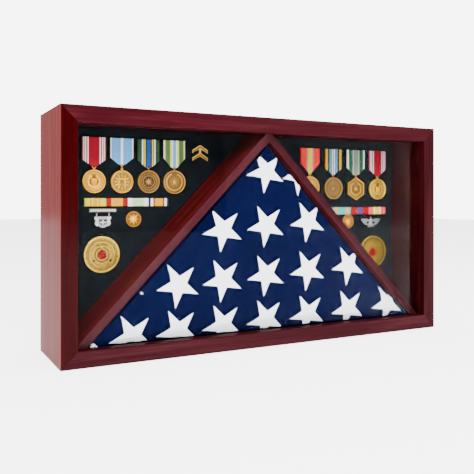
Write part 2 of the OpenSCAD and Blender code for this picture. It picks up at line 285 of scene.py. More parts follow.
def hardboard(name, colours):
    """Pressed fibre board: fine flecks and a dull skin."""
    paint = Paint(name, Specular_IOR_Level=0.3)
    place = paint.place()
    fleck = paint.noise(place, 900, 4, 0.7)
    cloud = paint.noise(place, 14, 3, 0.5)
    paint.colour(paint.ramp(fleck * 0.6 + cloud * 0.4, list(zip((0.3, 0.7), colours))))
    paint.roughness(fleck * 0.25 + 0.5)
    paint.bump(fleck, 0.00008, 0.5)
    return paint.material


def velvet_cloth():
    """Black velvet: a deep pile that brushes lighter in patches."""
    paint = Paint("velvet", Sheen_Weight=0.03, Sheen_Roughness=0.45,
                  Sheen_Tint=(0.10, 0.16, 0.20, 1), Specular_IOR_Level=0.08, Roughness=0.95)
    place = paint.place()
    pile = paint.noise(place, 2600, 2, 0.6)
    brushed = paint.noise(place, 22, 3, 0.6, 0.8)
    paint.colour(paint.ramp(pile * 0.35 + brushed * 0.65, [
        (0.30, (0.0014, 0.0022, 0.0032)), (0.70, (0.0040, 0.0060, 0.0080))]))
    paint.bump(pile * 0.7 + brushed * 0.3, 0.0003, 0.6)
    return paint.material


def weave(paint, u, v, pitch):
    """Over-and-under threads: 1 on a thread's crown, 0 between threads."""
    warp, weft = (u * (2 * math.pi / pitch)).sin(), (v * (2 * math.pi / pitch)).sin()
    return (warp * weft) * 0.5 + 0.5


def flag_cloth():
    """Deep blue cotton bunting."""
    paint = Paint("flag_cloth", Sheen_Weight=0.02, Sheen_Roughness=0.5,
                  Sheen_Tint=(0.1, 0.2, 0.9, 1), Specular_IOR_Level=0.0)
    x, y, z = paint.axes()
    threads = weave(paint, x + y * 0.5, z - y * 0.5, 0.0011)
    slub = paint.noise(paint.join(x * 40, y * 40, z * 900), 1.0, 3, 0.6)
    cloud = paint.noise(paint.place(), 9, 3, 0.5)
    paint.colour(paint.ramp(threads * 0.25 + slub * 0.3 + cloud * 0.45, [
        (0.25, (0.0006, 0.0011, 0.0100)), (0.75, (0.0016, 0.0028, 0.0225))]))
    paint.roughness(slub * 0.15 + 0.75)
    paint.bump(threads * 0.6 + slub * 0.4, 0.0002, 0.6)
    return paint.material


def star_thread():
    """White satin stitch on the flag's stars."""
    paint = Paint("star_thread", Sheen_Weight=0.2, Specular_IOR_Level=0.3)
    x, y, z = paint.axes()
    stitch = ((x * 0.8 + z * 0.6) * (2 * math.pi / 0.0009)).sin() * 0.5 + 0.5
    cloud = paint.noise(paint.place(), 60, 2, 0.5)
    paint.colour(paint.mix(stitch * 0.4 + cloud * 0.3, (0.86, 0.87, 0.90), (0.70, 0.72, 0.78)))
    paint.roughness(stitch * 0.2 + 0.5)
    paint.bump(stitch, 0.0002, 0.5)
    return paint.material


def clear_glass():
    """Coated picture glass: clear, and reflecting more at a slant."""
    paint = Paint("picture_glass", Metallic=1.0, Roughness=0.03, Base_Color=(0.92, 0.97, 0.96, 1))
    smear = paint.noise(paint.place(), 6, 2, 0.5)
    gloss = paint.node("ShaderNodeFresnel", {}, [1.45])
    paint.feed(paint.shader, {"Alpha": gloss * (smear * 0.02 + 0.015)})
    return paint.material


def metal(name, low, high, rough):
    """Plated metal, darker in its hollows as patina and painted shade, brighter on its raised parts
    and finely worn.
    """
    paint = Paint(name, Metallic=0.75)
    place = paint.place()
    worn = paint.noise(place, 500, 4, 0.6)
    cloud = paint.noise(place, 60, 3, 0.5)
    lift = paint.node("ShaderNodeAttribute", {"attribute_name": "relief"}, out="Fac")
    # darker where the relief is low: partly patina, partly painted shade
    shade = (lift * 0.9 + worn * 0.16 + cloud * 0.1).clamped()
    middle = tuple((a + b) / 2 for a, b in zip(low, high))
    paint.colour(paint.ramp(shade, [(0.18, low), (0.45, middle), (0.80, high)]))
    paint.roughness(worn * (rough[1] - rough[0]) + rough[0])
    paint.bump(worn, 0.00002, 0.4)
    return paint.material


def plain_metal(name, low, high):
    """Plated hardware with a fine brushed wear."""
    paint = Paint(name, Metallic=1.0)
    x, y, z = paint.axes()
    brushed = paint.noise(paint.join(x * 900, y * 900, z * 60), 1.0, 3, 0.6)
    cloud = paint.noise(paint.place(), 160, 3, 0.6)
    paint.colour(paint.mix(brushed * 0.5 + cloud * 0.5, low, high))
    paint.roughness(brushed * 0.2 + 0.25)
    paint.bump(brushed, 0.00002, 0.4)
    return paint.material


def enamel(name, dark, light):
    """Glossy fired enamel with a little depth of colour."""
    paint = Paint(name, Coat_Weight=0.05, Coat_Roughness=0.06, Roughness=0.4,
                  Specular_IOR_Level=0.05)
    cloud = paint.noise(paint.place(), 350, 3, 0.6)
    paint.colour(paint.mix(cloud, dark, light))
    paint.bump(cloud, 0.00003, 0.3)
    return paint.material


def ribbon_silk(name, centre, half, stripes):
    """Ribbed silk with upright stripes.

    stripes is a list of (right edge of the stripe, colour), edges running from -1 to 1, or from
    0 at the middle to 1 if they are the same on both sides."""
    paint = Paint(name, Sheen_Weight=0.04, Sheen_Roughness=0.4, Specular_IOR_Level=0.06)
    x, y, z = paint.axes()
    edge = paint.noise(paint.join(x * 300, y * 300, z * 900), 1.0, 2, 0.5)
    across = (x - centre) / half + (edge - 0.5) * 0.012
    mirrored = all(place > 0 for place, _ in stripes)
    factor = abs(across) if mirrored else across * 0.5 + 0.5
    places = [0.0] + [p if mirrored else p * 0.5 + 0.5 for p, _ in stripes[:-1]]
    base = paint.ramp(factor, list(zip(places, [c for _, c in stripes])), "CONSTANT")
    rib = (z * (2 * math.pi / 0.0009)).sin() * 0.5 + 0.5
    thread = (x * (2 * math.pi / 0.0005)).sin() * 0.5 + 0.5
    moire = paint.noise(paint.join(x * 90, y * 90, z * 260), 1.0, 2, 0.5, 1.5)
    shade = rib * 0.35 + thread * 0.1 + moire * 0.55
    hollow = paint.mix(shade, (0.66, 0.66, 0.66), (1, 1, 1))
    paint.colour(paint.mix(1.0, base, hollow, "MULTIPLY"))
    paint.roughness(moire * 0.25 + 0.45)
    paint.bump(rib * 0.8 + thread * 0.2, 0.00012, 0.6)
    return paint.material


# ---------------------------------------------------------------- mesh making

class Shape:
    """Collects the surfaces of one piece. Lift, 0 to 1, is how raised a point of a relief is."""

    def __init__(self):
        self.points, self.faces, self.lift, self.slots = [], [], [], []

    def add(self, points, faces, lift=0.7, slot=0):
        start = len(self.points)
        self.points += [tuple(float(c) for c in p) for p in points]
        self.lift += [float(v) for v in np.broadcast_to(lift, len(points))]
        self.faces += [[start + int(i) for i in face] for face in faces]
        self.slots += [slot] * len(faces)

    def rows(self, rows, lift=0.7, slot=0, closed=True, caps=True):
        """Joins rows of points. Closed rows are rings, and caps fill the first and the last."""
        rows = np.asarray(rows, float)
        m, n = rows.shape[:2]
        faces = [(i * n + j, i * n + (j + 1) % n, (i + 1) * n + (j + 1) % n, (i + 1) * n + j)
                 for i in range(m - 1) for j in range(n if closed else n - 1)]
        if caps:
            faces += [range(n), range((m - 1) * n, m * n)]
        self.add(rows.reshape(-1, 3), faces, np.broadcast_to(lift, (m, n)).reshape(-1), slot)

    def plate(self, outline, y0, y1, slot=0):
        """A flat piece with an outline in X and Z, between two depths."""
        self.rows([[(x, y, z) for x, z in outline] for y in (y0, y1)], slot=slot)

    def rod(self, x, z, r, y0, y1):
        """A round post along Y."""
        turn = np.linspace(0, 2 * np.pi, 20, endpoint=False)
        self.plate([(x + r * math.cos(a), z + r * math.sin(a)) for a in turn], y0, y1)

    def lathe(self, x, y, profile):
        """Turns (radius, height) points about an upright line."""
        turn = np.linspace(0, 2 * np.pi, 24, endpoint=False)
        self.rows([[(x + r * math.cos(a), y + r * math.sin(a), z) for a in turn]
                   for r, z in profile], 0.8)

    def loop(self, centre, major, minor, n=32, m=12):
        """A ring of wire about X."""
        points, faces = [], []
        for i in range(n):
            a = 2 * math.pi * i / n
            for j in range(m):
                b = 2 * math.pi * j / m
                r, side = major + minor * math.cos(b), minor * math.sin(b)
                u, v = r * math.cos(a), r * math.sin(a)
                points.append(tuple(c + s for c, s in zip(centre, (side, u, v))))
                faces.append((i * m + j, i * m + (j + 1) % m,
                              (i + 1) % n * m + (j + 1) % m, (i + 1) % n * m + j))
        self.add(points, faces, 0.8)

    def build(self, name, *materials, sharp=40):
        mesh = bpy.data.meshes.new(name)
        mesh.from_pydata(self.points, [], self.faces)
        mesh.update()
        mesh.polygons.foreach_set("material_index", self.slots)
        mesh.attributes.new("relief", "FLOAT", "POINT").data.foreach_set("value", self.lift)
        work = bmesh.new()
        work.from_mesh(mesh)
        bmesh.ops.recalc_face_normals(work, faces=work.faces)
        work.to_mesh(mesh)
        work.free()
        mesh.shade_smooth()
        mesh.set_sharp_from_angle(angle=math.radians(sharp))
        obj = bpy.data.objects.new(name, mesh)
        bpy.context.scene.collection.objects.link(obj)
        for material in materials:
            mesh.materials.append(material)
        return obj


def settle(obj):
    """Makes a piece's modifiers part of its mesh."""
    graph = bpy.context.evaluated_depsgraph_get()
    mesh = bpy.data.meshes.new_from_object(obj.evaluated_get(graph))
    obj.modifiers.clear()
    obj.data = mesh
    return obj


def thicken(obj, thickness):
    """Gives a sheet its thickness, half of it on each side."""
    wall = obj.modifiers.new("thickness", "SOLIDIFY")
    wall.thickness, wall.offset, wall.use_even_offset = thickness, 0, True
    return settle(obj)


def fit_on(obj, body, finish, *nodes):
    """Puts a piece on a body, in place of CAD nodes."""
    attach(obj, body)
    if nodes:
        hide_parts(*nodes)


# ---------------------------------------------------------------- reliefs

def smooth(value, low, high):
    t = np.clip((value - low) / (high - low), 0, 1)
    return t * t * (3 - 2 * t)


def band(r, at, wide):
    return np.clip(1 - ((r - at) / wide) ** 2, 0, 1)


def beads(r, a, at, size, count):
    along = ((a * count / (2 * np.pi)) % 1 - 0.5) * 2 * np.pi * at / count
    return np.sqrt(np.clip(1 - ((r - at) ** 2 + along ** 2) / size ** 2, 0, 1))


def faceted_star(r, a, size, tips=5, waist=0.4, turn=0.0):
    """A star with a ridge to each tip and a valley between them."""
    sector = np.pi / tips
    fold = np.abs((a + turn + sector) % (2 * sector) - sector)
    px, pz = r * np.cos(fold), r * np.sin(fold)
    dx, dz = size * (waist * np.cos(sector) - 1), size * waist * np.sin(sector)
    return np.clip((dx * pz - dz * (px - size)) / (dz * size), 0, 1)


def wreath(r, a, at, wide, leaves=20, gap=0.3):
    """Two sprays of leaves that rise from the bottom and stay apart at the top."""
    leaf = np.abs(np.sin(np.abs(a) * leaves / 2 + (r - at) / wide * 1.1))
    return band(r, at, wide) * (0.35 + 0.65 * leaf) * smooth(np.abs(a), gap, gap + 0.08)


def rays(r, a, low, high, count):
    ends = smooth(r, low, low + 0.08) * smooth(-r, -high, 0.08 - high)
    return (np.cos(a * count) * 0.5 + 0.5) * ends


def shield(x, z, size):
    half = 0.78 * size * np.sqrt(np.clip(1 - (np.clip(-z, 0, None) / (1.15 * size)) ** 2, 0, 1))
    inside = smooth(half - np.abs(x), 0, 0.12 * size) * smooth(0.8 * size - z, 0, 0.1 * size)
    bars = 0.75 + 0.25 * np.sign(np.sin(x / size * 14)) * (z < 0.3 * size)
    return inside * bars


RIM = 0.93


def rimmed(r, *layers):
    """Layers of relief inside a raised rim. Each layer is (height, relief)."""
    lift = 0.12 + 0.06 * np.cos(r * 9)
    for high, layer in layers:
        lift = np.maximum(lift, high * layer)
    return np.maximum(lift * (r < RIM), smooth(r, RIM - 0.035, RIM))


def medal_face(kind):
    """The relief of a medal's front, as a function of share of radius and of the angle."""
    def relief(r, a):
        x, z = r * np.sin(a), r * np.cos(a)
        if kind == "shield":
            return rimmed(r, (0.8, beads(r, a, 0.80, 0.045, 32)),
                          (0.75, wreath(r, a, 0.5, 0.12, 16)),
                          (0.95, shield(x, z, 0.34)), (0.5, band(r, 0.68, 0.03)))
        if kind == "gate":
            posts = smooth(0.30 - np.abs(np.abs(x) - 0.27), 0.22, 0.26) * (z < 0.22) * (z > -0.5)
            beam = smooth(0.10 - np.abs(z - 0.24), 0, 0.04) * (np.abs(x) < 0.5)
            return rimmed(r, (0.6, band(r, 0.84, 0.05)), (0.8, posts), (0.9, beam),
                          (0.55, rays(r, a, 0.1, 0.74, 12)))
        if kind == "compass":
            return rimmed(r, (0.75, beads(r, a, 0.84, 0.05, 28)), (0.8, band(r, 0.70, 0.04)),
                          (0.55, band(r, 0.52, 0.05)), (1.0, faceted_star(r, a, 0.52, 8, 0.45)),
                          (0.6, faceted_star(r, a, 0.64, 4, 0.3, np.pi / 4)))
        if kind == "laurel":
            return rimmed(r, (0.75, wreath(r, a, 0.72, 0.13, 26)),
                          (0.45, rays(r, a, 0.12, 0.56, 16)),
                          (1.0, faceted_star(r, a, 0.46, 5, 0.42)))
        if kind == "sunburst":
            return rimmed(r, (0.55, beads(r, a, 0.84, 0.045, 36)), (0.7, rays(r, a, 0.3, 0.76, 24)),
                          (1.0, faceted_star(r, a, 0.5, 6, 0.5)), (0.9, band(r, 0.0, 0.14)))
        return rimmed(r, (0.6, wreath(r, a, 0.6, 0.13, 18)),
                      (1.0, faceted_star(r, a, 0.42, 5, 0.42)))
    return relief


def reach_of(*outlines):
    """How far the union of some outlines reaches from the middle, as a function of the angle."""
    def reach(angle):
        c, s, far = np.cos(angle), np.sin(angle), np.zeros_like(angle)
        for outline in outlines:
            for (x0, z0), (x1, z1) in zip(outline, list(outline[1:]) + [outline[0]]):
                dx, dz = x1 - x0, z1 - z0
                det = dx * s - c * dz
                det = np.where(np.abs(det) < 1e-12, 1e-12, det)
                t, u = (dx * z0 - x0 * dz) / det, (c * z0 - s * x0) / det
                hit = (t > 0) & (u > -1e-6) & (u < 1 + 1e-6)
                far = np.where(hit, np.maximum(far, t), far)
        return far
    return reach


def circle(x, z, r, n=48):
    return [(x + r * math.cos(2 * math.pi * k / n), z + r * math.sin(2 * math.pi * k / n))
            for k in range(n)]


def polygon(n, r, turn=0.0, waist=None):
    """A regular polygon, or a star if its waist is given."""
    radii = [r] * n if waist is None else [r, r * waist] * n
    turns = [2 * math.pi * k / len(radii) + turn for k in range(len(radii))]
    return [(q * math.sin(a), q * math.cos(a)) for q, a in zip(radii, turns)]


def struck(shape, x, z, front_y, back_y, reach, relief, depth, rings=46, turns=160):
    """A coin-like piece with a relief on its front, whose highest points are at front_y."""
    angle = np.linspace(0, 2 * np.pi, turns, endpoint=False)
    share = np.concatenate([np.linspace(0.02, 0.985, rings), [1.0]])[:, None]
    r = share * reach(angle)
    px, pz = x + r * np.cos(angle), z + r * np.sin(angle)
    lift = relief(share + 0 * r, np.pi / 2 - angle + 0 * r)
    lift = np.broadcast_to(lift, r.shape).copy()
    py = front_y + depth * (1 - lift)
    py[-1] += 0.00025
    rows = np.stack([px, py, pz], axis=2)
    edge, back = rows[-1].copy(), rows[-1].copy()
    edge[:, 1], back[:, 1] = back_y - 0.0002, back_y
    back[:, 0], back[:, 2] = x + (back[:, 0] - x) * 0.985, z + (back[:, 2] - z) * 0.985
    rows = np.concatenate([rows, edge[None], back[None]])
    lift = np.concatenate([lift, np.full((2, turns), 0.6)])
    shape.rows(rows, lift)


# ---------------------------------------------------------------- wood, glass and hardware

def dress(nodes, material):
    for node in nodes:
        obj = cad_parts[node]
        if not obj.material_slots:
            obj.data.materials.append(material)
        for place in obj.material_slots:
            place.material = material


def dress_case():
    slope = math.atan2(height - 2 * side_t, (width - 2 * side_t) / 2)
    # each board's tone is painted light and shade, set board by board as the light falls on it
    dress(["top_board"], cherry("cherry_top", "X", painted_light_tone=(4.0, 1.5), offset=3))
    dress(["bottom_board"], cherry("cherry_bottom", "X", painted_light_tone=(3.5, 1.25), offset=9))
    # outer makes the outer side faces paler: painted reflection and painted side light
    dress(["left_board"], cherry("cherry_left", "Z", painted_light_tone=(0.8, 1.0), offset=15, outer=width / 2))
    dress(["right_board"], cherry("cherry_right", "Z", painted_light_tone=(2.0, 1.0), offset=21, outer=width / 2))
    dress(["glass_stops"], cherry("cherry_stops", "X"))
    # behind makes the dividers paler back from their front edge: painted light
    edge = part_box("left_divider")[0].y + 1 * MM
    for side, turn, offset in (("left", slope, 5), ("right", -slope, 7)):
        dress([f"{side}_divider"], cherry(f"cherry_{side}_divider", "X", turn, (5.0, 1.3), offset,
                                          behind=edge))
    pine = ((0.42, 0.25, 0.12), (0.66, 0.46, 0.26))
    dress(["board_cleats", "mitre_splines"], softwood("pine", pine))
    boards = ((0.16, 0.085, 0.038), (0.33, 0.20, 0.10))
    dress(["left_medal_board", "right_medal_board"], hardboard("fibre_board", boards))
    dress(["back_panel"], hardboard("back_board", ((0.085, 0.045, 0.022), (0.20, 0.12, 0.062))))
    dress(["glass_pane"], clear_glass())
    dress([f"turn_button_{i}" for i in range(1, 5)] + ["medal_brooches", "pin_clutches"], brass)
    dress([f"{s}_hanger_{k}" for s in ("left", "right") for k in ("strap", "ring")]
          + ["back_screws"], zinc)
    dress(["badge_bar"], silver)
    dress(["chevron_pin"] + [f"medal_{i}_ring" for i in (1, 2, 5, 7, 8)], gold)
    dress([f"medal_{i}_ring" for i in (3, 4, 6)], bronze)


brass = plain_metal("brass_plate", (0.42, 0.28, 0.10), (0.72, 0.53, 0.24))
zinc = plain_metal("zinc_plate", (0.36, 0.36, 0.38), (0.62, 0.63, 0.65))
silver = plain_metal("silver_plate", (0.05, 0.05, 0.052), (0.17, 0.17, 0.17))
gold = plain_metal("gold_plate", (0.55, 0.30, 0.04), (0.92, 0.54, 0.10))
bronze = plain_metal("bronze_plate", (0.26, 0.15, 0.07), (0.46, 0.30, 0.15))
dress_case()


# ---------------------------------------------------------------- velvet

def triangle_of(node, inset):
    """The X and Z corners of a right-angled compartment: outer top, point, outer foot."""
    lo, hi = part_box(node)
    left = (lo.x + hi.x) < 0
    outer, point = (lo.x, hi.x) if left else (hi.x, lo.x)
    corners = [np.array(c) for c in ((outer, hi.z), (point, hi.z), (outer, lo.z))]
    sides = [np.linalg.norm(corners[(i + 1) % 3] - corners[(i + 2) % 3]) for i in range(3)]
    heart = sum(s * c for s, c in zip(sides, corners)) / sum(sides)
    area = abs((point - outer) * (hi.z - lo.z)) / 2
    shrink = 1 - inset * sum(sides) / (2 * area)
    return [heart + (c - heart) * shrink for c in corners], area, sides


def velvet_cover(side):
    """Velvet stretched over the face of a medal board and down its edges."""
    node = f"{side}_velvet"
    lo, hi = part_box(node)
    thick, n = 0.8 * MM, 44
    face, area, sides = triangle_of(node, 1.2 * MM + thick / 2)
    shape, index = Shape(), {}
    points, faces = [], []
    for i in range(n + 1):
        for j in range(n + 1 - i):
            p = face[0] + (face[1] - face[0]) * i / n + (face[2] - face[0]) * j / n
            wave = 0.00006 * math.sin(p[0] * 190 + p[1] * 70) * math.sin(p[1] * 160)
            index[i, j] = len(points)
            points.append((p[0], lo.y + thick / 2 + 0.0001 + wave, p[1]))
    for i in range(n):
        for j in range(n - i):
            faces.append((index[i, j], index[i + 1, j], index[i, j + 1]))
            if i + j < n - 1:
                faces.append((index[i + 1, j], index[i + 1, j + 1], index[i, j + 1]))
    rim = ([index[i, 0] for i in range(n)] + [index[n - k, k] for k in range(n)]
           + [index[0, n - k] for k in range(n)])
    edge, _, _ = triangle_of(node, thick / 2)
    rim_share = [(edge[s], edge[(s + 1) % 3], k / n) for s in range(3) for k in range(n)]
    last = rim
    middle_y = lo.y + thick / 2
    for step, y in ((0.7, middle_y + 0.0004), (1.0, middle_y + 0.0013), (1.0, hi.y)):
        ring = []
        for k, (a, b, t) in enumerate(rim_share):
            p = np.array((points[rim[k]][0], points[rim[k]][2]))
            p = p + (a + (b - a) * t - p) * step
            ring.append(len(points))
            points.append((p[0], y, p[1]))
        for k in range(len(ring)):
            m = (k + 1) % len(ring)
            faces.append((last[k], last[m], ring[m], ring[k]))
        last = ring
    shape.add(points, faces)
    obj = thicken(shape.build(f"{side}_velvet_cover", velvet_pile, sharp=80), thick)
    fit_on(obj, CASE, "velvet", node)
    flap = 7 * MM
    area + sum(sides) * flap


velvet_pile = velvet_cloth()
for side in ("left", "right"):
    velvet_cover(side)


# ---------------------------------------------------------------- the folded flag

class FlagSpace:
    """The triangular space that holds the flag."""

    def __init__(self):
        self.lo, self.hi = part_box("folded_flag")
        self.half, self.rise = (self.hi.x - self.lo.x) / 2, self.hi.z - self.lo.z
        self.slant = math.hypot(self.half, self.rise)

    def inside(self, p, s):
        """How far points are inside the slanting side, on the left if s is 1, or right if -1."""
        return ((self.half + s * p[:, 0]) * self.rise
                - (p[:, 2] - self.lo.z) * self.half) / self.slant

    def kept_in(self, p, margin):
        """Points moved until they are the margin inside every side."""
        p = p.copy()
        for s in (-1, 1):
            push = np.clip(margin - self.inside(p, s), 0, None)
            p[:, 0] += s * push * self.rise / self.slant
            p[:, 2] -= push * self.half / self.slant
        p[:, 2] = np.maximum(p[:, 2], self.lo.z + margin)
        p[:, 1] = np.clip(p[:, 1], self.lo.y + margin, self.hi.y - margin)
        return p

    def filled_out(self, p, soft=14 * MM, tight=0.35):
        """Points near the front edges, moved out so that the fold at the edge is tighter."""
        p = p.copy()
        depth = p[:, 1] - self.lo.y
        new_depth = depth.copy()
        for s in (-1, 1, 0):
            if s:
                inside = self.inside(p, s)
                out = (-s * self.rise / self.slant, self.half / self.slant)
            else:
                inside, out = p[:, 2] - self.lo.z, (0, -1)
            share = tight + (1 - tight) * smooth(np.maximum(inside, depth), 0, soft)
            push = inside * (1 - share) * (depth < soft) * (inside < soft)
            new_depth = np.where((depth < soft) & (inside < soft),
                                 np.minimum(new_depth, depth * share), new_depth)
            p[:, 0] += out[0] * push
            p[:, 2] += out[1] * push
        p[:, 1] = self.lo.y + new_depth
        return p

    def corners(self, inset):
        radius = self.half * self.rise / (self.half + self.slant)
        shrink, mid = 1 - inset / radius, self.lo.z + radius
        return [(x * shrink, mid + (z - mid) * shrink)
                for x, z in ((-self.half, self.lo.z), (self.half, self.lo.z), (0, self.hi.z))]


def vertices(mesh):
    flat = np.empty(len(mesh.vertices) * 3)
    mesh.vertices.foreach_get("co", flat)
    return flat.reshape(-1, 3)


def set_vertices(mesh, points):
    mesh.vertices.foreach_set("co", np.asarray(points).reshape(-1))
    mesh.update()


def folded_flag():
    """The flag as it is folded: a firm triangular pad, crowned between its edges."""
    space, start = FlagSpace(), Shape()
    start.plate(space.corners(0.8 * MM), space.lo.y + 2 * MM, space.hi.y - 4 * MM)
    obj = start.build("folded_flag_cloth", flag_cloth(), sharp=180)
    remesh = obj.modifiers.new("even", "REMESH")
    remesh.mode, remesh.voxel_size = "VOXEL", (0.0055)
    settle(obj)
    rest = vertices(obj.data)
    cloth = obj.modifiers.new("fill", "CLOTH")
    cloth.settings.quality = 4
    cloth.settings.use_pressure = True
    cloth.settings.uniform_pressure_force = 4
    cloth.settings.effector_weights.gravity = 0
    for f in range(1, 21):
        bpy.context.scene.frame_set(f)
    graph = bpy.context.evaluated_depsgraph_get()
    moved = vertices(obj.evaluated_get(graph).to_mesh())
    obj.modifiers.clear()
    bpy.context.scene.frame_set(1)
    step = moved - rest
    size = np.linalg.norm(step, axis=1, keepdims=True)
    moved = rest + step * np.minimum(1, 6 * MM / np.maximum(size, 1e-9))
    set_vertices(obj.data, moved)
    smoother = obj.modifiers.new("even", "SMOOTH")
    smoother.factor, smoother.iterations = 0.5, 2
    finer = obj.modifiers.new("finer", "SUBSURF")
    finer.levels = finer.render_levels = 1
    settle(obj)
    mesh = obj.data
    points = vertices(mesh)
    normals = np.array([v.normal[:] for v in mesh.vertices])
    # the folded layers show along the sides, and soft creases on the face
    side = smooth(1 - np.abs(normals[:, 1]), 0.25, 0.8)
    layer = np.abs(np.sin((points[:, 1] - space.lo.y) * np.pi / 0.0115))
    points -= normals * (side * (1 - layer) * 0.0022)[:, None]
    along = points[:, 0] * 0.8 + points[:, 2] * 0.6
    across = points[:, 2] * 0.8 - points[:, 0] * 0.6
    crease = (np.sin(across * 55 + np.sin(along * 16) * 1.2) * 0.35
              + np.sin(along * 41 + across * 23) * 0.25) * 0.0009
    points[:, 1] += crease * (1 - side)
    set_vertices(mesh, space.kept_in(space.filled_out(points), 0.3 * MM))
    mesh.shade_smooth()
    fit_on(obj, CASE, "flag_cloth", "folded_flag")
    return obj, space


def star_places():
    """Rows of sewn stars on the flag's front, on rows and columns that bend with the folds."""
    for row, (first, last, spare) in enumerate(((-3, 3, 1), (-2, 2, 1), (-1, 1, 1), (0, 1, 0))):
        level = 41 + 74.5 * row + 3.9 * row * (row - 1)
        for k in range(first - spare, last + 2):
            x = 82 * k + 1.4 * k * k
            z = level + (0.03 + 0.02 * row) * x
            if row == 3:
                x, z = 68 * k, level - 4.5 * k
            if k < first:
                x, z = x - (14 if row else 5), z + (9 if row else 0)
            yield (x - 5) * MM, z * MM


def flag_stars(flag, space):
    """Stars sewn on the flag's front, cut off where a fold turns them out of sight."""
    tree = BVHTree.FromPolygons([v.co[:] for v in flag.data.vertices],
                                [p.vertices[:] for p in flag.data.polygons])
    corners = space.corners(1.6 * MM)
    everything = Shape()
    for x, z in star_places():
        tips = [(x + px, z + pz) for px, pz in polygon(5, 37 * MM, math.radians(-28), 0.382)]
        work = bmesh.new()
        centre = work.verts.new((x, 0, z))
        ring = [work.verts.new((px, 0, pz)) for px, pz in tips]
        for k in range(10):
            work.faces.new((centre, ring[k], ring[(k + 1) % 10]))
        bmesh.ops.subdivide_edges(work, edges=work.edges, cuts=9, use_grid_fill=True)
        for k in range(3):
            (ax, az), (bx, bz) = corners[k], corners[(k + 1) % 3]
            out = Vector((bz - az, 0, ax - bx))
            geometry = work.verts[:] + work.edges[:] + work.faces[:]
            bmesh.ops.bisect_plane(work, geom=geometry, plane_co=(ax, 0, az), plane_no=out,
                                   clear_outer=True, dist=1e-6)
        if len(work.faces) < 4:
            work.free()
            continue
        work.verts.ensure_lookup_table()
        edge = {v.index for e in work.edges if e.is_boundary for v in e.verts}
        points, hidden = [], set()
        for v in work.verts:
            hit = tree.ray_cast(Vector((v.co.x, space.lo.y - 0.05, v.co.z)), Vector((0, 1, 0)))[0]
            y = hit.y if hit else space.hi.y
            if y > space.lo.y + 7 * MM:
                hidden.add(v.index)
            lift = 0.05 if v.index in edge else 0.4
            points.append((v.co.x, max(y - lift * MM, space.lo.y), v.co.z))
        shown = [[v.index for v in f.verts] for f in work.faces]
        everything.add(points, [f for f in shown if not hidden.intersection(f)])
        work.free()
    obj = everything.build("flag_stars", star_thread(), sharp=180)
    fit_on(obj, CASE, "flag_cloth")


flag, flag_space = folded_flag()
flag_stars(flag, flag_space)


# ---------------------------------------------------------------- medals

WHITE, CREAM = (0.76, 0.76, 0.72), (0.75, 0.66, 0.42)
CRIMSON, PINK = (0.27, 0.0005, 0.012), (0.46, 0.075, 0.115)
SKY, NAVY, BLUE = (0.105, 0.31, 0.62), (0.004, 0.009, 0.035), (0.012, 0.060, 0.22)
GREEN, LEAF, LIME = (0.024, 0.062, 0.024), (0.075, 0.130, 0.048), (0.34, 0.48, 0.010)
YELLOW, AMBER, BLACK = (0.68, 0.46, 0.001), (0.60, 0.29, 0.002), (0.006, 0.006, 0.008)
CORAL, RED, GREY = (0.66, 0.018, 0.018), (0.30, 0.002, 0.001), (0.22, 0.24, 0.24)
BROWN = (0.25, 0.12, 0.02)

# straight length, width of the point, then the stripes from the middle out
CRIMSON_STRIPES = [(0.46, CRIMSON), (0.55, WHITE), (0.65, CRIMSON), (0.74, WHITE), (0.82, PINK),
                   (0.89, WHITE), (1.0, PINK)]
RIBBONS = {
    1: (36, 4, CRIMSON_STRIPES),
    2: (32, 11, [(0.10, WHITE), (0.88, SKY), (1.0, WHITE)]),
    3: (35, 11, [(0.20, BLUE), (0.30, NAVY), (0.42, YELLOW), (0.50, NAVY), (0.62, WHITE),
                 (1.0, GREEN)]),
    4: (30, 10, [(0.13, SKY), (0.26, (0.62, 0.74, 0.64)), (0.42, (0.56, 0.58, 0.07)), (0.80, LEAF),
                 (0.90, LIME), (1.0, WHITE)]),
    5: (28, 4, [(0.17, YELLOW), (0.22, GREY), (0.27, AMBER), (0.33, GREY), (1.0, CORAL)]),
    6: (36, 4, [(0.045, RED), (0.12, WHITE), (0.46, (0.07, 0.22, 0.34)), (0.62, BLACK),
                (0.88, AMBER), (0.95, BLACK), (1.0, GREEN)]),
    7: (34, 14, [(0.30, (0.16, 0.19, 0.16)), (0.34, WHITE), (0.80, (0.015, 0.085, 0.035)),
                 (1.0, WHITE)]),
    8: (36, 4, CRIMSON_STRIPES),
}
FACES = {1: "shield", 2: "gate", 3: "compass", 4: "laurel", 5: "sunburst", 6: "sunburst",
         7: "hexagon", 8: "shield"}


